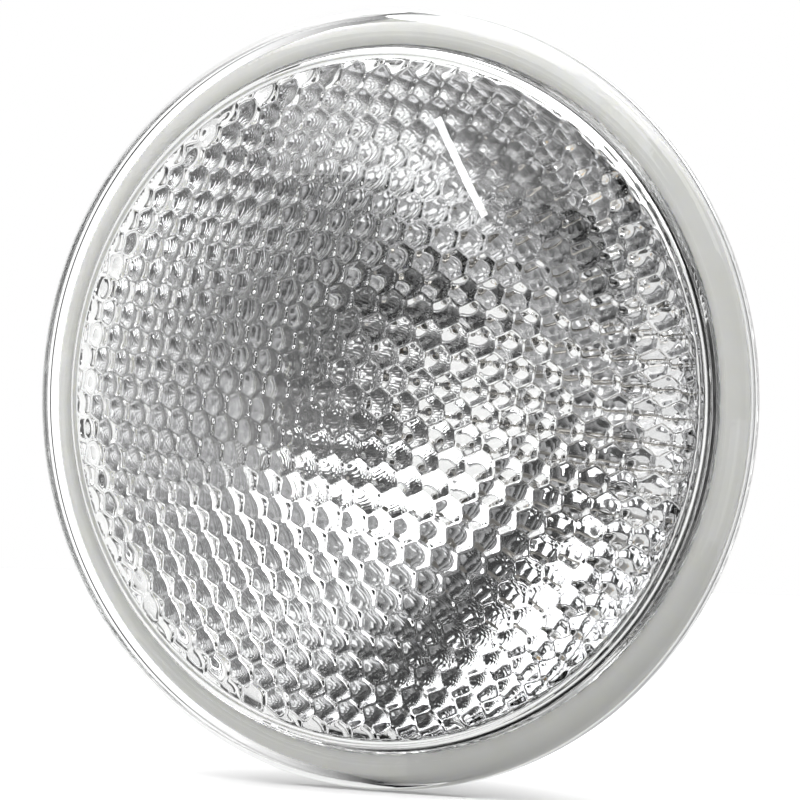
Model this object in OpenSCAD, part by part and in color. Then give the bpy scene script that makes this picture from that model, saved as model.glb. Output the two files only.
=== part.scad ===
// Sealed-beam lamp for an underwater pool light: a pressed-glass lens and a mirrored
// glass bowl fused at the rim, with a low-voltage filament inside and screw terminals
// behind. The lens faces -Y, the terminals face +Y, and the origin is the centre of
// the rim on its seam plane. Sizes are in millimetres.

/* [Rim] */
// Largest radius of the rim
rim_r = 89; // [87:0.5:91]
// Half the height of the straight band round the rim
rim_band = 2; // [1.5:0.1:2.5]
// Outer radius of the flat ring on both faces of the rim
rim_face_r = 85.6; // [84:0.2:86.5]
// Front face of the rim, ahead of the seam plane
rim_front = 5.4; // [4.5:0.1:6.5]
// Rear face of the rim, behind the seam plane
rim_rear = 5.1; // [4.5:0.1:6.5]
// Thickness of the milky seal between the two rims
seal_t = 0.8; // [0.4:0.1:1.2]
// Inner radius of the milky seal; inside it the two glasses are fused clear
seal_in_r = 79.8; // [78.5:0.1:81]
// Outer radius of the milky seal; outside it the two glasses are fused clear
seal_out_r = 86.8; // [85:0.1:88]

/* [Lens] */
// Height of the lens crown ahead of the seam plane
crown = 23; // [20:0.5:26]
// Radius of curvature of the lens face
face_r = 200; // [190:2:240]
// Radius at which the lens face ends and the shoulder begins
face_edge_r = 77; // [75:0.5:77.5]
// Glass thickness of the lens, its lenslets included
lens_t = 4.6; // [4:0.1:6]
// Radius of the lens's inner wall at the seam
lens_in_r = 77.9; // [77:0.1:78.5]

/* [Reflector] */
// Focal length of the paraboloid
focal = 22.2; // [21.5:0.1:23]
// Vertex of the paraboloid, behind the seam plane
vertex = 67; // [65:0.5:69]
// Radius of the open mouth of the paraboloid
mouth_r = 76; // [74:0.5:76.5]
// Glass thickness of the bowl
bowl_t = 3; // [2.5:0.1:3.4]
// Thickness of the mirror coating as a solid
coat_t = 0.25; // [0.2:0.05:0.4]

/* [Hub] */
// Radius of the flat floor inside the hub
hub_in_r = 20; // [19:0.5:21]
// Radius of the clear window in the coating
window_r = 17; // [16.5:0.25:18]
// Radius of the boss on the back of the bowl
hub_out_r = 25; // [24:0.5:26]
// Back face of the hub, behind the seam plane
hub_back = 68; // [67.5:0.5:70]
// Height of the boss round each ferrule
boss_h = 1.6; // [1.2:0.1:2.2]
// Radius of the sealed exhaust tip
tip_r = 3.6; // [3:0.1:4.2]
// Distance between the centres of the two ferrules
ferrule_pitch = 28; // [27:0.5:30]
// Outer radius of a ferrule
ferrule_r = 6.5; // [6:0.1:7]
// Closed end of a ferrule, behind the seam plane
ferrule_end = 78.5; // [77:0.5:80]

/* [Filament] */
// Mean radius of the tungsten coil
coil_r = 1.8; // [1.4:0.1:2.2]
// Radius of the tungsten wire
wire_r = 0.3; // [0.2:0.05:0.4]
// Turns in the coil
turns = 9; // [6:1:10]
// Axial pitch of the coil
coil_pitch = 1.1; // [0.9:0.05:1.2]
// Radius of a lead wire
lead_r = 1.2; // [1:0.1:1.5]

/* [Terminals] */
// Distance of a terminal screw from the lamp's axis
screw_x = 26; // [25:0.5:28]
// Radius of the terminal screw's thread
screw_r = 2.08; // [1.9:0.02:2.2]
// Length of the terminal screw under its head
screw_len = 10; // [9:0.5:11]
// Sheet thickness of a terminal lug
lug_t = 0.8; // [0.6:0.1:1]
// Width of a terminal lug
lug_w = 9.5; // [8.5:0.5:11]
// Step from the lug's foot to its shelf
lug_rise = 7.5; // [6:0.5:8]
// Width of the square clamp plate under a screw head
plate_w = 9; // [8:0.5:10]
// Outer radius of the split lock washer
lock_r = 3.7; // [3.4:0.1:4]
// Radius of the screw head
head_r = 4; // [3.6:0.1:4.4]
// Height of the screw head
head_h = 2.5; // [2.2:0.1:3]
// Width of the screwdriver slot
slot_w = 1.2; // [1:0.1:1.5]
// Depth of the screwdriver slot
slot_d = 1.3; // [1:0.1:1.5]

/* [Hidden] */
$fn = 96;
eps = 0.05;
running = 0.05;
floor_u = -vertex + hub_in_r * hub_in_r / (4 * focal);
focus_u = -vertex + focal;
ferrule_x = ferrule_pitch / 2;
ferrule_wall = 0.6;
ferrule_seat = hub_back - 2;
boss_r = ferrule_r + 2.4;
lead_hole_r = lead_r + 1.2;
foot_u = -ferrule_end;
shelf_u = foot_u - lug_rise;
plate_t = 1;
lock_t = 1;
plate_u = shelf_u - lug_t;
lock_u = plate_u - plate_t;
head_u = lock_u - lock_t;
clamp_x = turns * coil_pitch / 2 + 2.8;
leg_y = 0.8;
lead_bend_u = floor_u + 7;

// Height of the lens face at radius r
function face_u(r) = crown - face_r + sqrt(face_r * face_r - r * r);

// Height of the paraboloid at radius r
function bowl_u(r) = -vertex + r * r / (4 * focal);

// Point of the paraboloid at radius r, moved out through the glass by t
function bowl_out(r, t) =
    let (a = atan(r / (2 * focal))) [r + t * sin(a), bowl_u(r) - t * cos(a)];

// Outer corner of the rim: a quarter round from the flat ring to the straight band
function rim_side(height) = [
    for (a = [90:-15:0])
        [rim_face_r + (rim_r - rim_face_r) * cos(a), rim_band + (height - rim_band) * sin(a)]
];

// The lens axis is +Z while a piece is drawn, and this turns it to face -Y
module place() {
    rotate([90, 0, 0]) children();
}

// One copy on the side that s names: -1 is left, 1 is right
module side(s) {
    mirror([s < 0 ? 1 : 0, 0, 0]) children();
}

// A round rod between two points, with a ball at its far end
module rod(a, b, r) {
    d = b - a;
    translate(a)
        rotate([0, acos(d[2] / norm(d)), atan2(d[1], d[0])])
            cylinder(h = norm(d), r = r, $fn = 32);
}

module lens() {
    outer = [for (i = [0:24]) let (r = face_edge_r * i / 24) [r, face_u(r)]];
    inner = [for (i = [24:-1:0]) let (r = (face_edge_r + 0.4) * i / 24) [r, face_u(r) - lens_t]];
    color("white", 0.4) place()
        rotate_extrude()
            polygon(concat(
                outer,
                [[78, 7.15], [78.7, 6.6], [79.4, 5.85], [80.3, rim_front]],
                rim_side(rim_front),
                [[rim_r, 0], [seal_out_r, 0], [seal_out_r, seal_t / 2]],
                [[seal_in_r, seal_t / 2], [seal_in_r, 0]],
                [[lens_in_r, 0], [lens_in_r - 0.1, 1.9]],
                inner
            ));
}

module reflector_bowl() {
    steps = 24;
    inner = [for (i = [0:steps]) let (r = hub_in_r + (mouth_r - hub_in_r) * i / steps)
        [r, bowl_u(r)]];
    outer = [for (i = [steps:-1:1])
        bowl_out(hub_out_r + (mouth_r - 2.2 - hub_out_r) * i / steps, bowl_t)];
    color("gainsboro", 0.5) place() difference() {
        union() {
            rotate_extrude()
                polygon(concat(
                    [[0, floor_u]], inner,
                    [[mouth_r + 0.5, 0], [seal_in_r, 0]],
                    [[seal_in_r, -seal_t / 2], [seal_out_r, -seal_t / 2]],
                    [[seal_out_r, 0], [rim_r, 0]],
                    [for (i = [6:-1:0]) let (p = rim_side(rim_rear)[i]) [p[0], -p[1]]],
                    [[78.6, -rim_rear], [77.4, -rim_rear - 0.5], [76.7, -rim_rear - 1.3]],
                    outer,
                    [[hub_out_r + 0.6, -hub_back + 6], [hub_out_r, -hub_back + 1],
                     [hub_out_r - 1, -hub_back], [0, -hub_back]]
                ));
            for (s = [-1, 1])
                translate([s * ferrule_x, 0, -hub_back - boss_h])
                    cylinder(h = boss_h + 1, r1 = boss_r - 0.8, r2 = boss_r);
        }
        for (s = [-1, 1])
            translate([s * ferrule_x, 0, 0]) {
                translate([0, 0, -hub_back - boss_h - 1])
                    cylinder(h = hub_back + boss_h + floor_u + 2, r = lead_hole_r);
                translate([0, 0, -hub_back - boss_h - 1]) difference() {
                    cylinder(h = boss_h + 1 + hub_back - ferrule_seat, r = ferrule_r + 0.02);
                    translate([0, 0, -1])
                        cylinder(h = boss_h + 5, r = ferrule_r - ferrule_wall - 0.02);
                }
            }
    }
}

module mirror_coating() {
    steps = 24;
    coat_r = function (i) hub_in_r + 0.2 + (mouth_r - 0.6 - hub_in_r) * i / steps;
    out = [for (i = [0:steps]) bowl_out(coat_r(i), -eps)];
    in = [for (i = [steps:-1:0]) bowl_out(coat_r(i), -eps - coat_t)];
    color("silver") place()
        rotate_extrude()
            polygon(concat(
                [[window_r, floor_u + eps]], [[hub_in_r - 0.6, floor_u + eps]], out, in,
                [[hub_in_r - 0.9, floor_u + eps + coat_t], [window_r, floor_u + eps + coat_t]]
            ));
}

module rim_seal() {
    color("ivory") place()
        rotate_extrude()
            polygon([
                [seal_in_r, -seal_t / 2], [seal_out_r, -seal_t / 2],
                [seal_out_r, seal_t / 2], [seal_in_r, seal_t / 2]
            ]);
}

module exhaust_tip() {
    color("gainsboro", 0.6) place() translate([0, 0, -hub_back])
        rotate_extrude()
            polygon(concat(
                [[0, 0], [tip_r + 0.9, 0], [tip_r + 0.2, -0.8], [tip_r, -2], [tip_r - 0.2, -4.5]],
                [[2.9, -6.4], [1.9, -7.8], [1.1, -8.8], [0, -9.2]]
            ));
}

// The wire's centre line: a helix along X whose ends run out to the clamps
function coil_point(t) =
    [coil_pitch * (t - turns / 2), coil_r * sin(360 * t), focus_u - coil_r * cos(360 * t)];
function leg_points(s) =
    [for (a = s < 0 ? [0, 30, 60] : [60, 30, 0])
        [s * (turns * coil_pitch / 2 + leg_y * cos(a)), s * leg_y * (1 - sin(a)), focus_u - coil_r]];
function wire_line(n) = concat(
    [[-clamp_x - 0.8, -leg_y, focus_u - coil_r]], leg_points(-1),
    [for (i = [0:turns * n]) coil_point(i / n)],
    leg_points(1), [[clamp_x + 0.8, leg_y, focus_u - coil_r]]
);

// A closed tube of k sides carried along the points of path
module tube(path, r, k) {
    n = len(path);
    function dir(i) = path[min(i + 1, n - 1)] - path[max(i - 1, 0)];
    function ring(i) =
        let (d = dir(i) / norm(dir(i)), c = cross(d, [0, 0.1, 0.99]), a = c / norm(c), b = cross(d, a))
        [for (j = [0:k - 1]) path[i] + r * (a * cos(360 * j / k) + b * sin(360 * j / k))];
    points = [for (i = [0:n - 1]) each ring(i)];
    sides = [for (i = [0:n - 2], j = [0:k - 1])
        let (a = i * k + j, b = i * k + (j + 1) % k) each [[a, b, b + k], [a, b + k, a + k]]];
    ends = [[for (j = [k - 1:-1:0]) j], [for (j = [0:k - 1]) (n - 1) * k + j]];
    polyhedron(points, concat(sides, ends));
}

module filament() {
    color("dimgray") place() tube(wire_line(12), wire_r, 6);
}

// Nickel block that holds a filament leg on the end of its lead wire
module filament_clamp(s) {
    top = focus_u - coil_r + 1.1;
    color("silver") place() side(s) translate([clamp_x, 0, 0]) difference() {
        translate([-1.2, -1.5, top - 4.2]) cube([2.4, 3, 4.2]);
        translate([-2, s * leg_y, focus_u - coil_r]) rotate([0, 90, 0])
            cylinder(h = 4, r = wire_r + 0.02, $fn = 24);
        translate([0, 0, top - 5]) cylinder(h = 3, r = lead_r + 0.02, $fn = 32);
    }
}

module lead_wire(s) {
    foot = [ferrule_x, 0, -ferrule_end + ferrule_wall + 0.2];
    bend = [ferrule_x, 0, lead_bend_u];
    neck = [clamp_x, 0, focus_u - coil_r - 5.2];
    color("silver") place() side(s) union() {
        rod(foot, bend, lead_r);
        translate(bend) sphere(r = lead_r, $fn = 32);
        rod(bend, neck, lead_r);
        translate(neck) sphere(r = lead_r, $fn = 32);
        rod(neck, [clamp_x, 0, focus_u - coil_r - 1.2], lead_r);
    }
}

module lead_braze(s) {
    u = -ferrule_end + ferrule_wall;
    color("goldenrod") place() side(s) translate([ferrule_x, 0, 0])
        rotate_extrude()
            polygon([
                [0, u], [3.6, u], [2.4, u + 0.6], [1.7, u + 1.6], [lead_r + 0.02, u + 2.8],
                [lead_r + 0.02, u + 0.2], [0, u + 0.2]
            ]);
}

module ferrule(s) {
    r = ferrule_r;
    w = ferrule_wall;
    color("darkgray") place() side(s) translate([ferrule_x, 0, 0])
        rotate_extrude()
            polygon([
                [0, -ferrule_end], [r - 0.8, -ferrule_end], [r - 0.25, -ferrule_end + 0.25],
                [r, -ferrule_end + 0.8], [r, -ferrule_seat - 0.02],
                [r - w, -ferrule_seat - 0.02], [r - w, -ferrule_end + w + 0.4],
                [r - w - 0.4, -ferrule_end + w], [0, -ferrule_end + w]
            ]);
}

// Side view of a lug: foot, rounded step and shelf, all one sheet thick
function lug_line() =
    let (x0 = ferrule_x - 5.5, x1 = ferrule_x + 6.2, x2 = screw_x + 5,
         top = foot_u - lug_t / 2, low = shelf_u - lug_t / 2, r = 1.4)
    concat([[x0, top]],
           [for (i = [0:5]) [x1 - r + r * sin(18 * i), top - r + r * cos(18 * i)]],
           [for (i = [5:-1:0]) [x1 + r - r * sin(18 * i), low + r - r * cos(18 * i)]],
           [[x2, low]]);
function line_normal(p, i) =
    let (d = p[min(i + 1, len(p) - 1)] - p[max(i - 1, 0)]) [-d[1], d[0]] / norm(d);

module terminal_lug(s) {
    p = lug_line();
    n = len(p);
    color("silver") place() side(s) difference() {
        union() {
            translate([0, lug_w / 2, 0]) rotate([90, 0, 0]) linear_extrude(lug_w)
                polygon(concat(
                    [for (i = [0:n - 1]) p[i] + line_normal(p, i) * lug_t / 2],
                    [for (i = [n - 1:-1:0]) p[i] - line_normal(p, i) * lug_t / 2]
                ));
            translate([screw_x, 0, shelf_u - 0.4]) cylinder(h = 2.8, r = screw_r + 1.1);
        }
        translate([screw_x, 0, shelf_u - 2]) cylinder(h = 6, r = screw_r + running);
        translate([ferrule_x, 0, foot_u - 2]) cylinder(h = 3, r = 1.7);
        for (y = [-1, 1])
            translate([screw_x + 5, y * lug_w / 2, shelf_u - 2]) rotate([0, 0, 45])
                cube([2.4, 2.4, 6], center = true);
    }
}

module lug_solder(s) {
    top = foot_u - lug_t;
    color("lightgray") place() side(s) translate([ferrule_x, 0, 0])
        rotate_extrude()
            polygon([
                [0, foot_u], [1.68, foot_u], [1.68, top], [3.3, top],
                [3.0, top - 0.45], [2.2, top - 0.95], [1.1, top - 1.25], [0, top - 1.35]
            ]);
}

module clamp_plate(s) {
    w = plate_w;
    color("goldenrod") place() side(s) translate([screw_x, 0, lock_u]) difference() {
        intersection() {
            translate([-w / 2, -w / 2, 0]) cube([w, w, plate_t]);
            cylinder(h = plate_t, r = w * 0.62);
        }
        translate([0, 0, -1]) cylinder(h = 4, r = screw_r + 0.15);
    }
}

module lock_washer(s) {
    color("silver") place() side(s) translate([screw_x, 0, head_u]) difference() {
        cylinder(h = lock_t, r = lock_r);
        translate([0, 0, -1]) cylinder(h = 4, r = screw_r + 0.12);
        rotate([0, 0, 30]) translate([0, -0.35, -1]) cube([6, 0.7, 4]);
    }
}

module terminal_screw(s) {
    color("goldenrod") place() side(s) translate([screw_x, 0, head_u]) difference() {
        union() {
            rotate_extrude()
                polygon([
                    [0, 0], [head_r, 0], [head_r, -1.3], [head_r - 0.3, -1.9],
                    [head_r - 1, -2.3], [head_r - 2, -2.45], [0, -head_h]
                ]);
            rotate_extrude()
                polygon([
                    [0, -0.5], [screw_r, -0.5], [screw_r, screw_len - 0.6],
                    [screw_r - 0.5, screw_len], [0, screw_len]
                ]);
        }
        translate([-head_r - 1, -slot_w / 2, -head_h - 1])
            cube([2 * head_r + 2, slot_w, slot_d + 1]);
    }
}

lens();
reflector_bowl();
mirror_coating();
rim_seal();
exhaust_tip();
filament();
filament_clamp(-1);  // filament_clamp_left
filament_clamp(1);  // filament_clamp_right
lead_wire(-1);  // lead_wire_left
lead_wire(1);  // lead_wire_right
lead_braze(-1);  // lead_braze_left
lead_braze(1);  // lead_braze_right
ferrule(-1);  // ferrule_left
ferrule(1);  // ferrule_right
terminal_lug(-1);  // terminal_lug_left
terminal_lug(1);  // terminal_lug_right
lug_solder(-1);  // lug_solder_left
lug_solder(1);  // lug_solder_right
clamp_plate(-1);  // clamp_plate_left
clamp_plate(1);  // clamp_plate_right
lock_washer(-1);  // lock_washer_left
lock_washer(1);  // lock_washer_right
terminal_screw(-1);  // terminal_screw_left
terminal_screw(1);  // terminal_screw_right
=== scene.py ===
"""The looks of a sealed-beam pool lamp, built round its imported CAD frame.

The lamp's axis is Y and the lens faces -Y. A profile is a list of (r, u) points in
metres: r is the distance from the axis, and u is the height ahead of the rim's seam
plane, so a point sits at y = -u. Every new piece is a surface worked out from profiles,
paths and grids, and rides on its CAD body.
"""

import math

import bmesh
import bpy
import mathutils
import numpy as np
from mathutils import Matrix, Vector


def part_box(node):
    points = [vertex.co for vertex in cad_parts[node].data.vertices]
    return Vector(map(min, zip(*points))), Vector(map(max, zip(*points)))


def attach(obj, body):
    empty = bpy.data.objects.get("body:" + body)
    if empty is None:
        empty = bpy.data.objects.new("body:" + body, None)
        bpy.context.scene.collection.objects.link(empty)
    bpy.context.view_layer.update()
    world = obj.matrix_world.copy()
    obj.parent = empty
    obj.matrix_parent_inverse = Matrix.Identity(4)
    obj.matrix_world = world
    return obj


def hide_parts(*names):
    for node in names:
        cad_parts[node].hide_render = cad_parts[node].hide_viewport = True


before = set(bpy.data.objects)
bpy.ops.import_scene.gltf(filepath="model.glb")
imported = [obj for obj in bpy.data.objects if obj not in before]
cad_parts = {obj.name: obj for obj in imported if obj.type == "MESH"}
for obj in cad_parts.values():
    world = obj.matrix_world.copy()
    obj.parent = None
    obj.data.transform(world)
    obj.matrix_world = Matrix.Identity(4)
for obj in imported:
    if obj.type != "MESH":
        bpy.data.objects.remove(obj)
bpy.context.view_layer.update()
MM = 0.001

# ---------------------------------------------------------------- driving sizes

RIM_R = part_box("lens")[1][2]            # largest radius of the rim
CROWN_U = -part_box("lens")[0][1]         # top of the lens dome
SEAL_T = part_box("rim_seal")[1][1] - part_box("rim_seal")[0][1]
FERRULE_END_U = -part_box("ferrule_right")[1][1]
FERRULE_X = (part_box("ferrule_right")[0][0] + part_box("ferrule_right")[1][0]) / 2
FERRULE_R = (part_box("ferrule_right")[1][0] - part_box("ferrule_right")[0][0]) / 2
SCREW_X = (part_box("terminal_screw_right")[0][0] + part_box("terminal_screw_right")[1][0]) / 2
SCREW_BACK_U = -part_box("terminal_screw_right")[1][1]
SCREW_TIP_U = -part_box("terminal_screw_right")[0][1]
HEAD_R = (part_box("terminal_screw_right")[1][2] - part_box("terminal_screw_right")[0][2]) / 2
LOCK_R = (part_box("lock_washer_right")[1][2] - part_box("lock_washer_right")[0][2]) / 2
HEAD_U = -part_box("lock_washer_right")[1][1]
LOCK_U = -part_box("clamp_plate_right")[1][1]
SHELF_U = -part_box("clamp_plate_right")[0][1] + 0.8 * MM
LUG_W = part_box("terminal_lug_right")[1][2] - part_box("terminal_lug_right")[0][2]
PLATE_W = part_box("clamp_plate_right")[1][2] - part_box("clamp_plate_right")[0][2]
TIP_END_U = -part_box("exhaust_tip")[1][1]
HUB_BACK_U = -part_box("exhaust_tip")[0][1]
FERRULE_SEAT_U = -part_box("ferrule_right")[0][1]

FACE_R = 200 * MM          # radius of curvature of the lens face
FACE_EDGE_R = 77 * MM      # where the dome ends and the shoulder begins
CELL_EDGE_R = 77.4 * MM      # where the lenslets end inside
LENS_T = 4.6 * MM          # mean thickness of the lens
CELL_PITCH = 6.3 * MM      # distance between lenslets
CELL_BALL = 5.6 * MM       # radius of a lenslet's curve
CELL_TURN = math.radians(-5.5)
CREASE_W = 0.55 * MM       # width and depth of the rounding at a crease
CREASE_FILL = 0.12 * MM
RIM_FRONT = 5.4 * MM       # front and rear faces of the rim, from the seam
RIM_REAR = 5.1 * MM
RIM_BAND = 2.0 * MM        # half the height of its straight band
RIM_INNER_R = 80.2 * MM    # inner edge of the rim's flat front
SEAL_IN_R = 79.8 * MM
SEAL_OUT_R = 86.8 * MM
LENS_IN_R = 77.9 * MM      # inner wall of the lens at the seam
FUSED_GAP = 0.01 * MM      # half the gap kept between the two glasses

FOCAL = 22.2 * MM          # the paraboloid
VERTEX_U = -67 * MM
MOUTH_R = 76 * MM
BOWL_T = 3 * MM
HUB_IN_R = 20 * MM
HUB_OUT_R = 25 * MM
WINDOW_R = 17 * MM
FLOOR_U = VERTEX_U + HUB_IN_R ** 2 / (4 * FOCAL)
FOCUS_U = VERTEX_U + FOCAL

COIL_R = 1.8 * MM          # the filament and what holds it
COIL_PITCH = 1.1 * MM
COIL_TURNS = 9
COIL_LEG = 0.8 * MM
WIRE_R = 0.3 * MM
CLAMP_X = COIL_TURNS * COIL_PITCH / 2 + 2.8 * MM
LEAD_R = 1.2 * MM

LUG_T = 0.8 * MM           # the terminals
PLATE_T = 1.0 * MM
LOCK_T = 1.0 * MM
SCREW_R = 2.08 * MM
THREAD_PITCH = 25.4 / 32 * MM
THREAD_DEPTH = 0.42 * MM
SLOT_W = 1.2 * MM
SLOT_D = 1.3 * MM
SIDE = {-1: "left", 1: "right"}

GROUND_TONE, LOW_TONE, EYE_TONE, HIGH_TONE = 0.0, 0.35, 0.6, 0.06   # brightness of the room
WALL_TONE, SIDE_TONE, BACK_TONE = 1.3, 0.08, 1.0
VIEW_AZIMUTH = 25          # degrees that the camera stands round to the lamp's right
SIDESTEP = 0.0022          # how far the middle of the view lies to the right of the lamp's middle
CENTRE = [SIDESTEP * math.cos(math.radians(VIEW_AZIMUTH)),
          SIDESTEP * math.sin(math.radians(VIEW_AZIMUTH)), 0]


# ---------------------------------------------------------------- mesh helpers

def make_mesh(name, points, faces, smooth=True):
    """An object with this mesh: doubles merged, closed, and its faces pointing outwards."""
    mesh = bpy.data.meshes.new(name)
    mesh.from_pydata(np.asarray(points).tolist(), [], [list(f) for f in faces])
    work = bmesh.new()
    work.from_mesh(mesh)
    bmesh.ops.remove_doubles(work, verts=work.verts, dist=1e-7)
    bmesh.ops.dissolve_degenerate(work, edges=work.edges, dist=1e-8)
    bmesh.ops.recalc_face_normals(work, faces=work.faces)
    work.to_mesh(mesh)
    work.free()
    mesh.shade_smooth() if smooth else mesh.shade_flat()
    piece = bpy.data.objects.new(name, mesh)
    bpy.context.collection.objects.link(piece)
    return piece


def grid_faces(rows, columns, wrap_rows=False, wrap_columns=True):
    """The quads between neighbouring points of a grid. Its rows and columns may close on themselves."""
    i, j = np.meshgrid(np.arange(rows - (not wrap_rows)), np.arange(columns - (not wrap_columns)),
                       indexing="ij")
    below, beside = (i + 1) % rows, (j + 1) % columns
    corners = [i * columns + j, i * columns + beside, below * columns + beside, below * columns + j]
    return np.stack(corners, -1).reshape(-1, 4)


def ring_points(profile, segments, centre_x=0.0):
    """Every profile point (r, u) carried round the axis: x = r cos a, y = -u, z = r sin a."""
    r, u = np.asarray(profile, float).T
    a = np.arange(segments) * 2 * np.pi / segments
    x = centre_x + r[:, None] * np.cos(a)
    z = r[:, None] * np.sin(a)
    y = np.broadcast_to(-u[:, None], x.shape)
    return np.stack([x, y, z], -1)


def revolve(name, profile, segments=180, centre_x=0.0, ring=False, smooth=True):
    """A profile turned round the axis. A ring's profile closes on itself, and another's ends lie
    on the axis."""
    points = ring_points(profile, segments, centre_x)
    faces = grid_faces(len(profile), segments, wrap_rows=ring)
    return make_mesh(name, points.reshape(-1, 3), faces, smooth)


def rounded(corners, steps=5):
    """A profile from corners (r, u, fillet): each corner with a fillet becomes an arc that
    touches both of its sides, taken from the quadratic curve through the two touching points."""
    points = []
    count = len(corners)
    for i, (r, u, fillet) in enumerate(corners):
        here = np.array([r, u])
        if fillet <= 0:
            points.append(here)
            continue
        before = np.array(corners[i - 1][:2]) - here
        after = np.array(corners[(i + 1) % count][:2]) - here
        start = here + before / np.linalg.norm(before) * fillet
        end = here + after / np.linalg.norm(after) * fillet
        for t in np.linspace(0, 1, steps):
            points.append((1 - t) ** 2 * start + 2 * t * (1 - t) * here + t ** 2 * end)
    return np.array(points)


def zip_loops(a_angles, b_angles, a_first, b_first):
    """Triangles between two loops of points, each in order of angle. Each point of either loop
    closes one triangle with the loop's next point and the other loop's latest point."""
    n, m = len(a_angles), len(b_angles)
    order = np.argsort(np.concatenate([a_angles, b_angles]), kind="stable")
    from_a = order < n
    i = np.cumsum(from_a) - 1
    j = np.cumsum(~from_a) - 1
    a_now, b_now = a_first[i % n], b_first[j % m]
    a_last, b_last = a_first[(i - 1) % n], b_first[(j - 1) % m]
    step_a = np.stack([a_last, a_now, b_now], -1)
    step_b = np.stack([b_now, b_last, a_now], -1)
    return np.where(from_a[:, None], step_a, step_b)


# ---------------------------------------------------------------- glass lens

def face_u(r):
    """Height of the lens dome at radius r: part of a ball."""
    return CROWN_U - FACE_R + np.sqrt(FACE_R ** 2 - r ** 2)


def lenslet_height(points):
    """How far each point stands above the cells' corners: a ball cap round the nearest cell centre,
    with each crease filled in a little by the square of the nearness to it."""
    turn = np.array([math.cos(CELL_TURN), math.sin(CELL_TURN)])
    across = np.array([-turn[1], turn[0]])
    x, z = points @ turn / CELL_PITCH, points @ across / CELL_PITCH
    r = z / (math.sqrt(3) / 2)
    q = x - r / 2
    s = -q - r
    q_near, r_near, s_near = np.rint(q), np.rint(r), np.rint(s)
    dq, dr, ds = abs(q_near - q), abs(r_near - r), abs(s_near - s)
    worst_q = (dq > dr) & (dq > ds)
    worst_r = ~worst_q & (dr > ds)
    q_near = np.where(worst_q, -r_near - s_near, q_near)
    r_near = np.where(worst_r, -q_near - s_near, r_near)
    centre = CELL_PITCH * ((q_near + r_near / 2)[:, None] * turn
                           + (r_near * math.sqrt(3) / 2)[:, None] * across)
    offset = points - centre
    lowest = math.sqrt(CELL_BALL ** 2 - CELL_PITCH ** 2 / 3)
    cap = np.sqrt(CELL_BALL ** 2 - np.sum(offset ** 2, -1)) - lowest
    to_crease = np.full(len(points), CELL_PITCH)
    for k in range(6):
        a = CELL_TURN + k * math.pi / 3
        to_crease = np.minimum(to_crease, CELL_PITCH / 2 - offset @ np.array([math.cos(a), math.sin(a)]))
    fill = np.clip(1 - to_crease / CREASE_W, 0, 1) ** 2
    return cap + CREASE_FILL * fill


def cell_lattice(radius, splits):
    """Points and triangles of a fine three-way lattice inside a circle. Its lines run along every
    crease between cells, because its steps are the cell's corner distance divided by splits."""
    step = CELL_PITCH / math.sqrt(3) / splits
    angles = CELL_TURN + np.radians([30, 90])
    first, second = step * np.stack([np.cos(angles), np.sin(angles)], -1)
    reach = int(radius / step * 1.3)
    i, j = np.meshgrid(np.arange(-reach, reach + 1), np.arange(-reach, reach + 1), indexing="ij")
    points = (i[..., None] * first + j[..., None] * second).reshape(-1, 2)
    inside = np.hypot(*points.T) < radius - 0.4 * step
    n = 2 * reach + 1
    start = (np.arange(n - 1)[:, None] * n + np.arange(n - 1)).reshape(-1)
    triangles = np.concatenate([np.stack([start, start + n, start + 1], -1),
                                np.stack([start + n, start + n + 1, start + 1], -1)])
    triangles = triangles[inside[triangles].all(1)]
    used, flat = np.unique(triangles, return_inverse=True)
    return points[used], flat.reshape(-1, 3)


def outer_loop(points, triangles):
    """The points on the lattice's edge, in order of angle: those on an edge that one triangle has."""
    edges = np.concatenate([triangles[:, [0, 1]], triangles[:, [1, 2]], triangles[:, [2, 0]]])
    edges = np.sort(edges, 1)
    pairs, times = np.unique(edges, axis=0, return_counts=True)
    loop = np.unique(pairs[times == 1])
    angle = np.arctan2(points[loop, 1], points[loop, 0]) % (2 * np.pi)
    order = np.argsort(angle)
    return loop[order], angle[order]


def lens_outside():
    """The lens from the inner wall round the rim and over the dome to its top, as one profile."""
    dome = np.linspace(FACE_EDGE_R, 0, 30)
    seam = FUSED_GAP
    rim = rounded([
        (LENS_IN_R - 0.2 * MM, 1.6 * MM, 0.5 * MM), (LENS_IN_R, seam, 0.1 * MM), (SEAL_IN_R, seam, 0),
        (SEAL_IN_R, SEAL_T / 2, 0), (SEAL_OUT_R, SEAL_T / 2, 0), (SEAL_OUT_R, seam, 0),
        (RIM_R, seam, 0.1 * MM), (RIM_R, RIM_FRONT, RIM_FRONT - RIM_BAND),
        (RIM_INNER_R, RIM_FRONT, 1.1 * MM), (78.4 * MM, 6.95 * MM, 0.9 * MM)])
    return np.vstack([[[CELL_EDGE_R, 2.7 * MM]], rim, np.stack([dome, face_u(dome)], -1)])


def make_lens():
    """A closed glass body: lenslets inside, then a smooth wall, rim, shoulder and dome outside."""
    flat, triangles = cell_lattice(CELL_EDGE_R, splits=7)
    radius = np.hypot(*flat.T)
    cell_u = face_u(radius) - LENS_T + 0.45 * MM - lenslet_height(flat)
    cells = np.stack([flat[:, 0], -cell_u, flat[:, 1]], -1)
    segments = 288
    profile = lens_outside()
    shell = ring_points(profile, segments).reshape(-1, 3)
    loop, angle = outer_loop(flat, triangles)
    first_ring = len(cells) + np.arange(segments)
    ring_angle = np.arange(segments) * 2 * np.pi / segments
    seam = zip_loops(angle, ring_angle, loop, first_ring)
    walls = grid_faces(len(profile), segments) + len(cells)
    faces = triangles.tolist() + seam.tolist() + walls.tolist()
    return make_mesh("glass_lens", np.vstack([cells, shell]), faces)


# ---------------------------------------------------------------- bowl and mirror

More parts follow.
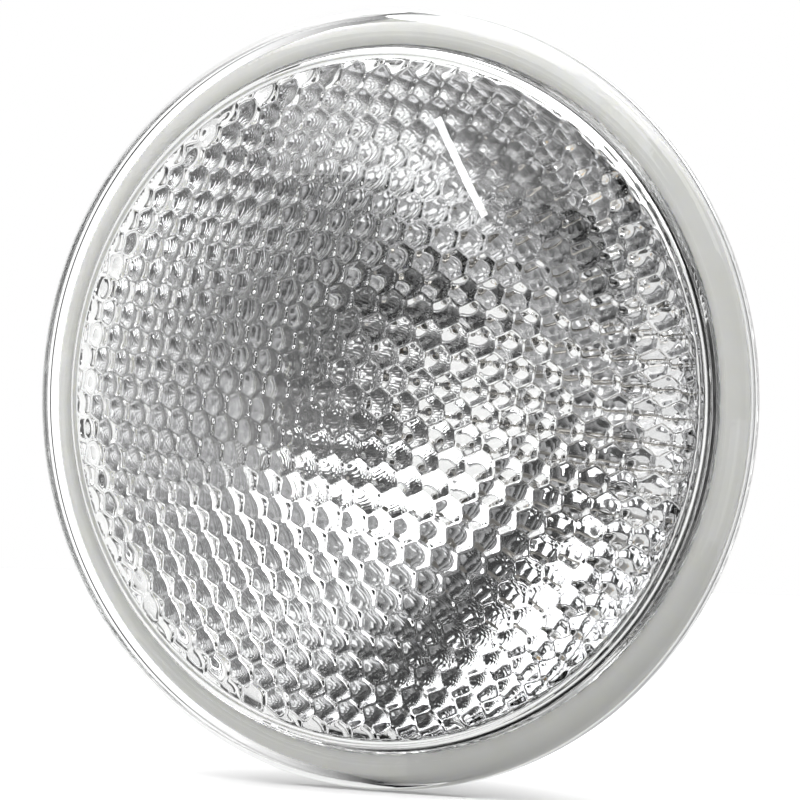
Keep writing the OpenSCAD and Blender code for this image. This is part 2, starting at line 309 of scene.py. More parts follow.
def bowl_u(r):
    """Height of the paraboloid at radius r."""
    return VERTEX_U + r ** 2 / (4 * FOCAL)


def bowl_wall(r, depth):
    """Points of the paraboloid moved out through the glass by depth, square to its surface."""
    lean = np.arctan(r / (2 * FOCAL))
    return np.stack([r + depth * np.sin(lean), bowl_u(r) - depth * np.cos(lean)], -1)


def make_bowl():
    """The pressed bowl: floor, paraboloid, rim and hub in one profile that starts and ends on the
    axis, with a seat for each ferrule on its back."""
    inside = bowl_wall(np.linspace(HUB_IN_R, MOUTH_R, 60), 0)
    outside = bowl_wall(np.linspace(MOUTH_R - 2.2 * MM, HUB_OUT_R + 1.5 * MM, 60), BOWL_T)
    rim = rounded([
        (MOUTH_R + 0.5 * MM, -FUSED_GAP, 0.1 * MM), (SEAL_IN_R, -FUSED_GAP, 0),
        (SEAL_IN_R, -SEAL_T / 2, 0), (SEAL_OUT_R, -SEAL_T / 2, 0), (SEAL_OUT_R, -FUSED_GAP, 0),
        (RIM_R, -FUSED_GAP, 0.1 * MM), (RIM_R, -RIM_REAR, RIM_REAR - RIM_BAND),
        (77.6 * MM, -RIM_REAR, 1.2 * MM)])
    hub = rounded([
        (HUB_OUT_R + 0.5 * MM, HUB_BACK_U + 5.6 * MM, 1.2 * MM),
        (HUB_OUT_R - 0.3 * MM, HUB_BACK_U, 0.9 * MM)])
    profile = np.vstack([[[0, FLOOR_U]], inside, rim, outside, hub, [[0, HUB_BACK_U]]])
    bowl = revolve("glass_bowl", profile, 240)
    for sign in (-1, 1):
        add_ferrule_seat(bowl, sign * FERRULE_X)
    crease(bowl, 50)
    return bowl


def add_ferrule_seat(bowl, x):
    """A round boss on the hub's back, a groove for the ferrule's edge and a hole for the lead."""
    boss_r, top = FERRULE_R + 2.4 * MM, HUB_BACK_U - 1.6 * MM
    boss = rounded([(0, HUB_BACK_U + 1 * MM, 0), (boss_r, HUB_BACK_U + 1 * MM, 0),
                    (boss_r - 0.6 * MM, top, 0.7 * MM), (0, top, 0)])
    combine(bowl, revolve("boss", boss, 72, x), "UNION")
    groove = [[FERRULE_R - 0.62 * MM, FERRULE_SEAT_U], [FERRULE_R + 0.02 * MM, FERRULE_SEAT_U],
              [FERRULE_R + 0.02 * MM, top - 1 * MM], [FERRULE_R - 0.62 * MM, top - 1 * MM]]
    combine(bowl, revolve("groove", groove, 96, x, ring=True), "DIFFERENCE")
    hole = post("lead_hole", x, 0, LEAD_R + 1.2 * MM, top - 1 * MM, FLOOR_U + 1 * MM)
    combine(bowl, hole, "DIFFERENCE")


def make_mirror():
    """The film: the bowl's inside from the clear window to just short of the mouth, 0.2 mm thick."""
    film_t = 0.2 * MM
    gap = 0.03 * MM
    r = np.linspace(HUB_IN_R, MOUTH_R - 0.4 * MM, 110)
    back, front = bowl_wall(r, -gap), bowl_wall(r[::-1], -gap - film_t)
    floor = [[WINDOW_R, FLOOR_U + gap], [HUB_IN_R - 0.02 * MM, FLOOR_U + gap]]
    top = [[HUB_IN_R - 0.1 * MM, FLOOR_U + gap + film_t], [WINDOW_R, FLOOR_U + gap + film_t]]
    return revolve("mirror_film", np.vstack([floor, back, front, top]), 360, ring=True)


def make_seal():
    """The milky seal: a flat ring whose inner edge wanders a little, as fused powder does."""
    segments = 360
    a = np.arange(segments) * 2 * np.pi / segments
    wander = 0.12 * MM * (np.sin(5 * a + 1) + np.sin(11 * a) * 0.6 + np.sin(23 * a + 2) * 0.4)
    half = SEAL_T / 2 - 0.01 * MM
    inner_r, outer_r, fillet = SEAL_IN_R + 0.4 * MM, SEAL_OUT_R - 0.05 * MM, 0.1 * MM
    corners = rounded([(inner_r, -half, fillet), (outer_r, -half, fillet),
                       (outer_r, half, fillet), (inner_r, half, fillet)], 3)
    points = ring_points(corners, segments)
    inner = corners[:, 0] < SEAL_IN_R + 1 * MM
    points[inner, :, 0] += wander * np.cos(a)
    points[inner, :, 2] += wander * np.sin(a)
    faces = grid_faces(len(corners), segments, wrap_rows=True)
    return make_mesh("milky_seal", points.reshape(-1, 3), faces)


# ---------------------------------------------------------------- swept and pressed pieces

def round_section(radius, sides=20):
    """A circle as a closed line of (across, up) points."""
    a = np.arange(sides) * 2 * np.pi / sides
    return radius * np.stack([np.cos(a), np.sin(a)], -1)


def strip_section(width, height, corner, steps=4):
    """A rectangle with quarter-round corners, as a closed line of (across, up) points."""
    turn = np.linspace(0, np.pi / 2, steps)
    turns = [turn + k * np.pi / 2 for k in range(4)]
    quarters = [np.stack([np.cos(a), np.sin(a)], -1) for a in turns]
    signs = [(1, 1), (-1, 1), (-1, -1), (1, -1)]
    half = np.array([width / 2 - corner, height / 2 - corner])
    return np.vstack([half * sign + corner * quarter for sign, quarter in zip(signs, quarters)])


def bent(corners, radius, steps=7):
    """A path through corner points whose bends are rounded: each corner becomes the quadratic
    curve between the points that lie radius before and after it."""
    corners = np.asarray(corners, float)
    points = [corners[0]]
    for before, here, after in zip(corners, corners[1:], corners[2:]):
        start = here + (before - here) / np.linalg.norm(before - here) * radius
        end = here + (after - here) / np.linalg.norm(after - here) * radius
        for t in np.linspace(0, 1, steps):
            points.append((1 - t) ** 2 * start + 2 * t * (1 - t) * here + t ** 2 * end)
    return np.array(points + [corners[-1]])


def sweep_mesh(path, section, side, end_round=0.0):
    """Points and faces of a section carried along a path. At each path point the section's across
    direction is side made square to the path, and its up direction is the path's direction crossed
    with that. The last section at both ends shrinks by end_round and closes with one face."""
    ahead = np.gradient(path, axis=0)
    ahead /= np.linalg.norm(ahead, axis=1)[:, None]
    across = np.asarray(side, float) - (ahead @ np.asarray(side, float))[:, None] * ahead
    across /= np.linalg.norm(across, axis=1)[:, None]
    up = np.cross(ahead, across)
    if end_round > 0:
        path = np.vstack([path[:1], path[:1] + ahead[:1] * end_round, path[1:-1],
                          path[-1:] - ahead[-1:] * end_round, path[-1:]])
        across, up = (np.vstack([v[:1], v, v[-1:]]) for v in (across, up))
    scale = np.ones(len(path))
    if end_round > 0:
        scale[[0, -1]] = 1 - end_round / np.abs(section).max()
    flat = section[None] * scale[:, None, None]
    points = path[:, None] + flat[..., :1] * across[:, None] + flat[..., 1:] * up[:, None]
    k = len(section)
    faces = grid_faces(len(path), k).tolist()
    faces += [list(range(k))[::-1], list(range((len(path) - 1) * k, len(path) * k))]
    return points.reshape(-1, 3), faces


def crease(piece, degrees=35):
    """Keeps edges sharper than this angle crisp under smooth shading."""
    piece.data.set_sharp_from_angle(angle=math.radians(degrees))


def combine(piece, other, operation):
    """Adds or cuts another closed piece, and removes it."""
    step = piece.modifiers.new("shape", "BOOLEAN")
    step.operation = operation
    step.solver = "EXACT"
    step.object = other
    with bpy.context.temp_override(object=piece, active_object=piece, selected_objects=[piece]):
        bpy.ops.object.modifier_apply(modifier=step.name)
    bpy.data.objects.remove(other)


def post(name, x, z, r, u_low, u_high, segments=64):
    """A plain round post along the lamp's axis, for cutting holes."""
    piece = revolve(name, [[0, u_low], [r, u_low], [r, u_high], [0, u_high]], segments, x)
    piece.data.transform(mathutils.Matrix.Translation((0, 0, z)))
    return piece


def turned(name, sign, x, profile, segments=72, wobble=0.0, lobes=3):
    """A small turned piece beside the axis: a profile of (r, u) round the line x = sign * x.
    Its radius swells and shrinks by the wobble share, as a hand-made joint does."""
    points = ring_points(profile, segments)
    a = np.arange(segments) * 2 * np.pi / segments
    swell = 1 + wobble * (np.sin(lobes * a + sign) + 0.5 * np.sin((2 * lobes + 1) * a + 2 * sign)) / 1.5
    points[..., 0] = sign * x + points[..., 0] * swell
    points[..., 2] *= swell
    piece = make_mesh(name, points.reshape(-1, 3), grid_faces(len(profile), segments))
    crease(piece, 40)
    return piece


def make_exhaust_tip():
    """The sealed glass tube at the hub's middle, drawn down to a nib that leans a little."""
    back = HUB_BACK_U
    profile = rounded([(0, back, 0), (4.4 * MM, back, 0.1 * MM), (3.7 * MM, back - 1.0 * MM, 0.6 * MM),
                       (3.45 * MM, back - 4.6 * MM, 1.2 * MM), (2.2 * MM, back - 7.2 * MM, 1.0 * MM),
                       (1.25 * MM, back - 8.6 * MM, 0.5 * MM), (0.6 * MM, TIP_END_U, 0.3 * MM),
                       (0, TIP_END_U, 0)], 6)
    points = ring_points(profile, 64)
    fall = np.clip((back - 5 * MM - profile[:, 1]) / (4 * MM), 0, 1)[:, None]
    points[..., 0] += fall * 0.35 * MM
    points[..., 2] *= 1 - 0.12 * fall
    return make_mesh("glass_exhaust_tip", points.reshape(-1, 3), grid_faces(len(profile), 64))


def coil_path(steps=28):
    """The wire's centre line: legs out to both clamps, and between them a helix along X."""
    t = np.linspace(0, COIL_TURNS, COIL_TURNS * steps + 1)
    a = 2 * np.pi * t
    along = COIL_PITCH * (t - COIL_TURNS / 2)
    coil = np.stack([along, -(FOCUS_U - COIL_R * np.cos(a)), COIL_R * np.sin(a)], -1)
    half = COIL_TURNS * COIL_PITCH / 2
    low = -(FOCUS_U - COIL_R)
    reach, ease = CLAMP_X + 0.8 * MM, np.radians(np.arange(0, 90, 15))
    bow = np.stack([half + COIL_LEG * np.cos(ease), np.full(6, low), COIL_LEG * (1 - np.sin(ease))], -1)
    right = np.vstack([bow[::-1], [[reach, low, COIL_LEG]]])
    left = np.vstack([[[-reach, low, -COIL_LEG]], bow * [-1, 1, -1]])
    return np.vstack([left, coil, right])


def make_filament():
    """Tungsten wire wound in one coil."""
    points, faces = sweep_mesh(coil_path(), round_section(WIRE_R, 12), (0.05, 1, 0.02))
    return make_mesh("tungsten_coil", points, faces)


def make_clamp(sign):
    """A folded nickel tab pinched over the filament's leg: a rounded block, wider above the pinch."""
    top = FOCUS_U - COIL_R + 1.1 * MM
    heights = np.array([0, 0.15, 0.5, 1.5, 1.9, 2.3, 2.7, 3.3, 3.9, 4.1, 4.2]) * MM
    pinch = np.array([0.9, 0.97, 1, 1, 0.94, 0.86, 0.94, 1, 1, 0.96, 0.88])
    section = strip_section(2.4 * MM, 3.0 * MM, 0.5 * MM)
    x, z = section[:, 0] * pinch[:, None], section[:, 1] * (2 - pinch[:, None]) * 0.86
    y = np.broadcast_to(-(top - heights)[:, None], x.shape)
    points = np.stack([sign * CLAMP_X + x, y, z], -1)
    k, rows = len(section), len(heights)
    faces = grid_faces(rows, k).tolist() + [list(range(k)), list(range((rows - 1) * k, rows * k))]
    piece = make_mesh("nickel_clamp_" + SIDE[sign], points.reshape(-1, 3), faces)
    crease(piece, 50)
    return piece


def make_lead(sign):
    """A stiff round wire from the ferrule's floor up to the filament's clamp, with two rounded bends."""
    top = FOCUS_U - COIL_R
    corners = np.array([(FERRULE_X, FERRULE_END_U + 0.8 * MM, 0), (FERRULE_X, FLOOR_U + 7 * MM, 0),
                        (CLAMP_X, top - 5.2 * MM, 0), (CLAMP_X, top - 1.2 * MM, 0)])
    path = bent(corners, 2.2 * MM)
    path = np.stack([sign * path[:, 0], -path[:, 1], path[:, 2]], -1)
    points, faces = sweep_mesh(path, round_section(LEAD_R, 24), (0, 0, 1), 0.15 * MM)
    piece = make_mesh("nickel_lead_" + SIDE[sign], points, faces)
    crease(piece, 50)
    return piece


def make_braze(sign):
    """The fillet of brazing metal where a lead meets its ferrule's floor."""
    low = FERRULE_END_U + 0.6 * MM
    round_lead = LEAD_R + 0.02 * MM
    profile = rounded([(0, low + 0.02 * MM, 0), (3.45 * MM, low + 0.02 * MM, 0.1 * MM),
                       (2.3 * MM, low + 0.7 * MM, 0.7 * MM), (1.45 * MM, low + 1.9 * MM, 0.5 * MM),
                       (round_lead, low + 2.7 * MM, 0.1 * MM), (round_lead, low + 0.3 * MM, 0),
                       (0, low + 0.3 * MM, 0)])
    return turned("braze_" + SIDE[sign], sign, FERRULE_X, profile, wobble=0.02)


def make_ferrule(sign):
    """The thin metal cup whose edge is sealed into the glass boss: floor, rounded corner and wall."""
    end, seat, wall = FERRULE_END_U, FERRULE_SEAT_U, 0.6 * MM
    profile = rounded([(0, end, 0), (FERRULE_R, end, 0.9 * MM), (FERRULE_R, seat, 0.15 * MM),
                       (FERRULE_R - wall, seat, 0.15 * MM), (FERRULE_R - wall, end + wall, 0.5 * MM),
                       (0, end + wall, 0)], 7)
    return turned("ferrule_cup_" + SIDE[sign], sign, FERRULE_X, profile, 96)


def lug_line():
    """The middle of the lug's sheet from the side: foot, two round bends and shelf, as (x, u) points."""
    top, low = FERRULE_END_U - LUG_T / 2, SHELF_U - LUG_T / 2
    foot, step, tip = FERRULE_X - 5.5 * MM, FERRULE_X + 6.2 * MM, SCREW_X + 5 * MM
    return bent([(foot, top), (step, top), (step, low), (tip, low)], 1.7 * MM, 9)


def make_lug(sign):
    """A stamped and bent strip of plate: the sheet's section carried along its side view, with a
    hole over the ferrule and a drawn collar at the screw, which is cut through both."""
    line = lug_line()
    path = np.stack([sign * line[:, 0], -line[:, 1], 0 * line[:, 0]], -1)
    points, faces = sweep_mesh(path, strip_section(LUG_W, LUG_T, 0.18 * MM), (0, 0, 1), 0.15 * MM)
    piece = make_mesh("terminal_strip_" + SIDE[sign], points, faces)
    collar_r, collar_top, foot = SCREW_R + 1.1 * MM, SHELF_U + 2.4 * MM, SHELF_U - 0.4 * MM
    collar = rounded([(0, foot, 0), (collar_r, foot, 0), (collar_r, collar_top, 0.35 * MM),
                      (0, collar_top, 0)])
    combine(piece, revolve("collar", collar, 64, sign * SCREW_X), "UNION")
    cuts = [("bore", SCREW_X, 0, SCREW_R + 0.05 * MM, SHELF_U - 2 * MM, SHELF_U + 4 * MM),
            ("eye", FERRULE_X, 0, 1.7 * MM, FERRULE_END_U - 2 * MM, FERRULE_END_U + 1 * MM)]
    cuts += [("corner", SCREW_X + 5.1 * MM, edge * (LUG_W / 2 + 0.1 * MM), 1.5 * MM,
              SHELF_U - 2 * MM, SHELF_U + 2 * MM) for edge in (-1, 1)]
    for name, x, *rest in cuts:
        combine(piece, post(name, sign * x, *rest), "DIFFERENCE")
    crease(piece)
    return piece


def make_solder(sign):
    """The button of solder that fills the lug's hole and stands over it."""
    top = FERRULE_END_U - LUG_T
    r = np.linspace(0, 3.25 * MM, 16)
    dome = top - 1.35 * MM * (1 - (r / (3.3 * MM)) ** 2) ** 0.8
    foot = [[3.28 * MM, top], [1.66 * MM, top], [1.66 * MM, FERRULE_END_U], [0, FERRULE_END_U]]
    profile = np.vstack([np.stack([r, dome], -1), foot])
    return turned("solder_" + SIDE[sign], sign, FERRULE_X, profile, wobble=0.015)


def make_plate(sign):
    """The square clamp plate: each ring of points runs from the round hole out to a square with rounded
    corners."""
    segments = 96
    a = np.arange(segments) * 2 * np.pi / segments
    spread = (np.abs(np.cos(a)) ** 7 + np.abs(np.sin(a)) ** 7) ** (-1 / 7)
    outer = PLATE_W / 2 * spread
    hole = SCREW_R + 0.15 * MM
    rim, low, high = 0.15 * MM, LOCK_U, LOCK_U + PLATE_T
    rows = [(hole, 0, low + rim), (hole, rim, low), (outer, -rim, low), (outer, 0, low + rim),
            (outer, 0, high - rim), (outer, -rim, high), (hole, rim, high), (hole, 0, high - rim)]
    radii = [(base + step, u) for base, step, u in rows]
    points = [np.stack([sign * SCREW_X + r * np.cos(a), np.full(segments, -u), r * np.sin(a)], -1)
              for r, u in radii]
    piece = make_mesh("clamp_plate_square_" + SIDE[sign], np.vstack(points),
                      grid_faces(len(rows), segments, wrap_rows=True))
    crease(piece)
    return piece


def make_lock_washer(sign):
    """A split spring washer: a nearly square section carried most of the way round the screw."""
    gap = math.radians(14)
    a = np.linspace(gap / 2, 2 * np.pi - gap / 2, 73) + math.radians(30)
    mean = (SCREW_R + 0.12 * MM + LOCK_R) / 2
    width = LOCK_R - SCREW_R - 0.12 * MM
    level = np.full(len(a), -(HEAD_U + LOCK_T / 2))
    path = np.stack([sign * (SCREW_X + mean * np.cos(a)), level, mean * np.sin(a)], -1)
    section = strip_section(LOCK_T, width, 0.12 * MM)
    points, faces = sweep_mesh(path, section, (0, 1, 0), 0.06 * MM)
    piece = make_mesh("split_washer_" + SIDE[sign], points, faces)
    crease(piece)
    return piece


def thread_profile(turn):
    """Depth of the thread, 0 at the crest and 1 in the root, by the share of a turn: straight
    flanks with a narrow flat crest and root."""
    share = np.abs((turn % 1) * 2 - 1)
    return np.clip((share - 0.12) / 0.76, 0, 1)


def make_screw(sign):
    """A slotted pan-head screw. Down its shank the radius follows a thread that winds once per pitch and
    fades out at the tip."""
    segments, rows = 48, 150
    a = np.arange(segments) * 2 * np.pi / segments
    head = rounded([(0, SCREW_BACK_U, 0), (1.2 * MM, SCREW_BACK_U, 0),
                    (HEAD_R, SCREW_BACK_U + 0.35 * MM, 1.5 * MM), (HEAD_R, HEAD_U, 0.12 * MM),
                    (SCREW_R, HEAD_U, 0.1 * MM)], 7)
    u = np.linspace(HEAD_U + 0.15 * MM, SCREW_TIP_U - 0.5 * MM, rows)
    turn = u[:, None] / THREAD_PITCH - a / (2 * np.pi)
    fade = np.clip((SCREW_TIP_U - u) / (1.1 * MM), 0, 1)[:, None]
    shank = SCREW_R - THREAD_DEPTH * np.maximum(thread_profile(turn), 1 - fade)
    head_points = ring_points(head, segments)
    height = np.broadcast_to(-u[:, None], shank.shape)
    shank_points = np.stack([shank * np.cos(a), height, shank * np.sin(a)], -1)
    tip = ring_points([[SCREW_R - THREAD_DEPTH - 0.25 * MM, SCREW_TIP_U], [0, SCREW_TIP_U]], segments)
    points = np.vstack([head_points.reshape(-1, 3), shank_points.reshape(-1, 3), tip.reshape(-1, 3)])
    points[:, 0] += sign * SCREW_X
    piece = make_mesh("brass_screw_" + SIDE[sign], points, grid_faces(len(head) + rows + 2, segments))
    slot = strip_section(SLOT_W, 2 * SLOT_D, 0.08 * MM, 3)
    path = np.array([[sign * SCREW_X + end * 5 * MM, -SCREW_BACK_U, 0] for end in (-1, 1)])
    points, faces = sweep_mesh(path, slot, (0, 0, 1))
    combine(piece, make_mesh("slot_cut", points, faces), "DIFFERENCE")
    crease(piece, 40)
    return piece


# ---------------------------------------------------------------- materials

def new_material(name):
    """A node material, its node tree and its main shader."""
    material = bpy.data.materials.new(name)
    material.use_nodes = True
    nodes = material.node_tree.nodes
    return material, material.node_tree, nodes["Principled BSDF"]


def object_noise(tree, scale, detail=3.0, stretch=(1, 1, 1)):
    """Noise read from Object coordinates, longer along an axis whose stretch is below 1."""
    where = tree.nodes.new("ShaderNodeTexCoord")
    spread = tree.nodes.new("ShaderNodeMapping")
    spread.inputs["Scale"].default_value = stretch
    noise = tree.nodes.new("ShaderNodeTexNoise")
    noise.inputs["Scale"].default_value = scale
    noise.inputs["Detail"].default_value = detail
    tree.links.new(where.outputs["Object"], spread.inputs["Vector"])
    tree.links.new(spread.outputs["Vector"], noise.inputs["Vector"])
    return noise


def ramp(tree, source, low, high, colour_low, colour_high):
    """A colour ramp between two stops."""
    node = tree.nodes.new("ShaderNodeValToRGB")
    node.color_ramp.elements[0].position = low
    node.color_ramp.elements[1].position = high
    node.color_ramp.elements[0].color = (*colour_low, 1)
    node.color_ramp.elements[1].color = (*colour_high, 1)
    tree.links.new(source, node.inputs["Fac"])
    return node


def roughness_from(tree, shader, noise, low, high):
    """Roughness that wanders between two values."""
    spread = tree.nodes.new("ShaderNodeMapRange")
    spread.inputs["To Min"].default_value = low
    spread.inputs["To Max"].default_value = high
    tree.links.new(noise.outputs["Fac"], spread.inputs["Value"])
    tree.links.new(spread.outputs["Result"], shader.inputs["Roughness"])


def bump_from(tree, shader, noise, strength, distance):
    """A fine bump."""
    bump = tree.nodes.new("ShaderNodeBump")
    bump.inputs["Strength"].default_value = strength
    bump.inputs["Distance"].default_value = distance
    tree.links.new(noise.outputs["Fac"], bump.inputs["Height"])
    tree.links.new(bump.outputs["Normal"], shader.inputs["Normal"])


def glass_material(name, tint_low, tint_high, ripple):
    """Clear pressed glass: faint colour drift and a slow ripple left by the mould."""
    material, tree, shader = new_material(name)
    drift = object_noise(tree, 22)
    colour = ramp(tree, drift.outputs["Fac"], 0.35, 0.65, tint_low, tint_high)
    tree.links.new(colour.outputs["Color"], shader.inputs["Base Color"])
    shader.inputs["Transmission Weight"].default_value = 1.0
    shader.inputs["IOR"].default_value = 1.48
    fine = object_noise(tree, 60, 2)
    roughness_from(tree, shader, fine, 0.0, 0.01)
    bump_from(tree, shader, object_noise(tree, 90, 2), ripple, 0.4 * MM)
    return material


def mirror_material():
    """Evaporated aluminium: bright, with a slightly uneven haze."""
    material, tree, shader = new_material("evaporated_aluminium")
    haze = object_noise(tree, 40)
    colour = ramp(tree, haze.outputs["Fac"], 0.3, 0.7, (0.80, 0.80, 0.81), (0.88, 0.88, 0.885))
    tree.links.new(colour.outputs["Color"], shader.inputs["Base Color"])
    shader.inputs["Metallic"].default_value = 1.0
    roughness_from(tree, shader, haze, 0.02, 0.05)
    return material


def seal_material():
    """Milky fused powder glass, a little see-through."""
    material, tree, shader = new_material("milky_fused_glass")
    cloud = object_noise(tree, 120, 5)
    colour = ramp(tree, cloud.outputs["Fac"], 0.3, 0.7, (0.90, 0.90, 0.855), (0.95, 0.95, 0.91))
    tree.links.new(colour.outputs["Color"], shader.inputs["Base Color"])
    roughness_from(tree, shader, cloud, 0.35, 0.5)
    shader.inputs["Subsurface Weight"].default_value = 1.0
    shader.inputs["Subsurface Radius"].default_value = (0.0016, 0.0016, 0.0014)
    shader.inputs["Subsurface Scale"].default_value = 1.0
    bump_from(tree, shader, cloud, 0.1, 0.1 * MM)
    return material


def metal_material(name, dull, bright, rough_low, rough_high, streak=(1, 1, 1), scale=400, bump=0.15):
    """Bare metal: two tones of the same metal in a drifting pattern, finer streaks along one
    direction where it was drawn or turned, and roughness that follows them."""
    material, tree, shader = new_material(name)
    drift = object_noise(tree, scale, 4, streak)
    colour = ramp(tree, drift.outputs["Fac"], 0.32, 0.68, dull, bright)
    tree.links.new(colour.outputs["Color"], shader.inputs["Base Color"])
    shader.inputs["Metallic"].default_value = 1.0
    roughness_from(tree, shader, drift, rough_high, rough_low)
    bump_from(tree, shader, object_noise(tree, scale * 3, 3, streak), bump, 0.05 * MM)
    return material


def plain_material(name, colour_low, colour_high, rough, scale=8):
    """A matt stage surface with a faint drift of tone."""
    material, tree, shader = new_material(name)
    drift = object_noise(tree, scale)
    colour = ramp(tree, drift.outputs["Fac"], 0.4, 0.6, colour_low, colour_high)
    tree.links.new(colour.outputs["Color"], shader.inputs["Base Color"])
    shader.inputs["Roughness"].default_value = rough
    return material


# ---------------------------------------------------------------- stage, light, camera

def make_floor(bottom_z, radius=1.1, thickness=0.02):
    """A pale round floor just under the rim. Glass and mirror don't see it, so that the lamp
    mirrors the room and not the floor."""
    edge = [[0, 0], [radius, 0], [radius, -thickness], [0, -thickness]]
    floor = revolve_up("floor", edge, bottom_z)
    floor.data.materials.append(plain_material("pale_floor", (0.83,) * 3, (0.86,) * 3, 0.6, 2))
    floor.visible_glossy = floor.visible_transmission = False


def revolve_up(name, profile, base_z):
    """A profile of (r, height) turned round the Z axis."""
    points = ring_points(profile, 96)[..., [0, 2, 1]]
    points[..., 2] = base_z - points[..., 2]
    return make_mesh(name, points.reshape(-1, 3), grid_faces(len(profile), 96), smooth=False)


def spread(tree, source, low, high):
    """A share that goes from 0 at low to 1 at high, and stays there."""
    node = tree.nodes.new("ShaderNodeMapRange")
    node.inputs["From Min"].default_value = low
    node.inputs["From Max"].default_value = high
    tree.links.new(source, node.inputs["Value"])
    return node.outputs["Result"]


def blend_tones(tree, share, first, second):
    """The first tone where share is 0 and the second where it is 1. A tone is a grey or an output."""
    node = tree.nodes.new("ShaderNodeMix")
    node.data_type = "RGBA"
    tree.links.new(share, node.inputs[0])
    for socket, tone in ((node.inputs[6], first), (node.inputs[7], second)):
        if isinstance(tone, (int, float)):
            socket.default_value = (tone, tone, tone, 1)
        else:
            tree.links.new(tone, socket)
    return node.outputs[2]


def make_world():
    """The room: white behind the lamp and plain white to the camera. On the lens's side it is dim,
    darkest towards the ground and palest at eye level, with a pale wall to the lamp's left."""
    world = bpy.data.worlds.new("studio")
    bpy.context.scene.world = world
    world.use_nodes = True
    tree = world.node_tree
    where = tree.nodes.new("ShaderNodeTexCoord")
    split = tree.nodes.new("ShaderNodeSeparateXYZ")
    tree.links.new(where.outputs["Generated"], split.inputs[0])
    x, y, z = split.outputs
    room = blend_tones(tree, spread(tree, z, -0.75, -0.35), GROUND_TONE, LOW_TONE)
    room = blend_tones(tree, spread(tree, z, -0.35, -0.1), room, EYE_TONE)
    room = blend_tones(tree, spread(tree, z, 0.0, 0.25), room, HIGH_TONE)
    room = blend_tones(tree, spread(tree, x, -0.4, -0.8), room, WALL_TONE)
    room = blend_tones(tree, spread(tree, x, 0.5, 0.8), room, SIDE_TONE)
    room = blend_tones(tree, spread(tree, y, -0.1, 0.2), room, BACK_TONE)
    path = tree.nodes.new("ShaderNodeLightPath")
    room = blend_tones(tree, path.outputs["Is Camera Ray"], room, 1.0)
    tree.links.new(room, tree.nodes["Background"].inputs["Color"])


def softbox(name, azimuth, elevation, distance, size, brightness, lean=0.0):
    """A rectangular soft light that faces the lamp. Its power is its brightness times pi times its
    area. Azimuth turns it from straight ahead of the lens towards the lamp's right."""
    a, e = math.radians(azimuth), math.radians(elevation)
    light = bpy.data.lights.new(name, "AREA")
    light.shape = "RECTANGLE"
    light.size, light.size_y = size
    light.energy = brightness * math.pi * size[0] * size[1]
    lamp = bpy.data.objects.new(name, light)
    bpy.context.collection.objects.link(lamp)
    out = mathutils.Vector((math.sin(a) * math.cos(e), -math.cos(a) * math.cos(e), math.sin(e)))
    turn = (-out).to_track_quat("-Z", "Y").to_matrix().to_4x4()
    lamp.matrix_world = (mathutils.Matrix.Translation(out * distance) @ turn
                         @ mathutils.Matrix.Rotation(math.radians(lean), 4, "Z"))
    return lamp


def make_camera(azimuth, elevation, roll, distance, target, framed_height):
    """A camera round the lamp: azimuth turns it to the lamp's right, roll leans the picture."""
    a, e = math.radians(azimuth), math.radians(elevation)
    back = mathutils.Vector((math.sin(a) * math.cos(e), -math.cos(a) * math.cos(e), math.sin(e)))
    data = bpy.data.cameras.new("camera")
    data.sensor_width = 36
    data.lens = data.sensor_width * distance / framed_height
    data.clip_start = 0.01
    camera = bpy.data.objects.new("camera", data)
    bpy.context.collection.objects.link(camera)
    camera.rotation_mode = "QUATERNION"
    camera.location = mathutils.Vector(target) + back * distance
    look = (-back).to_track_quat("-Z", "Y").to_matrix().to_4x4()
    lean = mathutils.Matrix.Rotation(math.radians(roll), 4, "Z")
    camera.rotation_quaternion = (look @ lean).to_quaternion()
    bpy.context.scene.camera = camera


# ---------------------------------------------------------------- assembly

GLASS = glass_material("pressed_glass", (0.975, 0.98, 0.975), (0.99, 0.992, 0.99), 0.02)
TUNGSTEN = metal_material("drawn_tungsten", (0.16, 0.16, 0.17), (0.34, 0.34, 0.35), 0.3, 0.5)
NICKEL = metal_material("annealed_nickel", (0.46, 0.44, 0.40), (0.66, 0.63, 0.58), 0.18, 0.38, (1, 0.2, 1))
BRAZE = metal_material("brazing_metal", (0.62, 0.40, 0.14), (0.85, 0.62, 0.26), 0.15, 0.35, bump=0.3)
FERRULE_METAL = metal_material("drawn_nickel_iron", (0.30, 0.29, 0.28), (0.52, 0.51, 0.49),
                               0.25, 0.45, (1, 0.15, 1))
LUG_METAL = metal_material("plated_strip", (0.55, 0.52, 0.46), (0.74, 0.71, 0.65), 0.2, 0.38, (0.2, 1, 1))
SOLDER = metal_material("soft_solder", (0.50, 0.51, 0.53), (0.72, 0.73, 0.75), 0.22, 0.42, bump=0.35)
STEEL = metal_material("zinc_plated_steel", (0.50, 0.52, 0.54), (0.68, 0.70, 0.72), 0.2, 0.35)
BRASS = metal_material("machined_brass", (0.58, 0.40, 0.16), (0.80, 0.60, 0.28), 0.18, 0.35, (1, 0.25, 1))


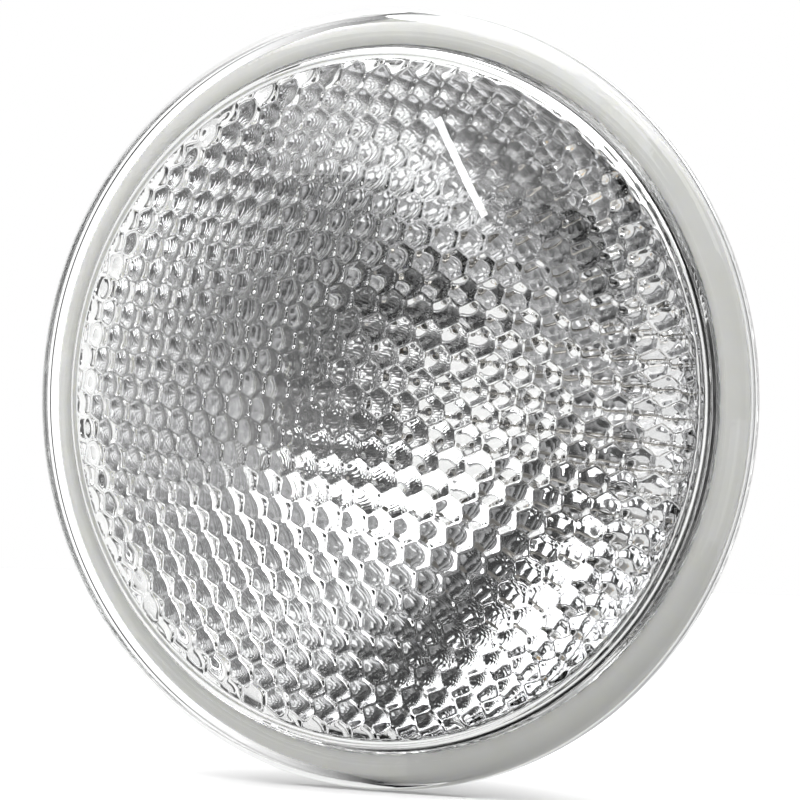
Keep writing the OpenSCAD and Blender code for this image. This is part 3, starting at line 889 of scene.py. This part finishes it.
def place(piece, material, body, slot, *nodes):
    """Gives a piece its material and its body, and hides the CAD nodes that it stands for."""
    piece.data.materials.clear()
    piece.data.materials.append(material)
    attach(piece, body)
    if nodes:
        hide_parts(*nodes)


bpy.context.scene.view_settings.view_transform = "Standard"
make_world()
softbox("overhead_left", -17, 45, 1.3, (1.3, 0.7), 2.6)
softbox("overhead_right", 80, 55, 1.3, (0.9, 1.1), 3.2)
softbox("top", 20, 76, 1.4, (1.5, 1.2), 3.4)
softbox("low_front", 32, -10, 1.3, (0.6, 0.4), 1.2)
softbox("low_left", -35, -8, 1.3, (0.5, 0.4), 1.1)
softbox("floor_wash", 180, 65, 2.2, (3.0, 2.4), 2.2)
softbox("strip", -13, 33, 1.2, (0.022, 0.36), 22, 40)
make_camera(VIEW_AZIMUTH, 0.5, 2, 1.2, CENTRE, 0.1826)
make_floor(-RIM_R - 0.2 * MM)
place(make_lens(), GLASS, "lamp", "lens_glass", "lens")
place(make_bowl(), GLASS, "lamp", "bowl_glass", "reflector_bowl")
place(make_mirror(), mirror_material(), "lamp", "mirror_film", "mirror_coating")
place(make_seal(), seal_material(), "lamp", "rim_seal", "rim_seal")
place(make_exhaust_tip(), GLASS, "lamp", "bowl_glass", "exhaust_tip")
place(make_filament(), TUNGSTEN, "lamp", "tungsten", "filament")
for sign, side in SIDE.items():
    place(make_clamp(sign), NICKEL, "lamp", "nickel", "filament_clamp_" + side)
    place(make_lead(sign), NICKEL, "lamp", "nickel", "lead_wire_" + side)
    place(make_braze(sign), BRAZE, "lamp", "braze", "lead_braze_" + side)
    place(make_ferrule(sign), FERRULE_METAL, "lamp", "ferrule_alloy", "ferrule_" + side)
    place(make_lug(sign), LUG_METAL, "lamp", "lug_plate", "terminal_lug_" + side)
    place(make_solder(sign), SOLDER, "lamp", "solder", "lug_solder_" + side)
    place(make_plate(sign), BRASS, "clamp_" + side, "screw_brass", "clamp_plate_" + side)
    place(make_lock_washer(sign), STEEL, "clamp_" + side, "washer_steel", "lock_washer_" + side)
    place(make_screw(sign), BRASS, "screw_" + side, "screw_brass", "terminal_screw_" + side)
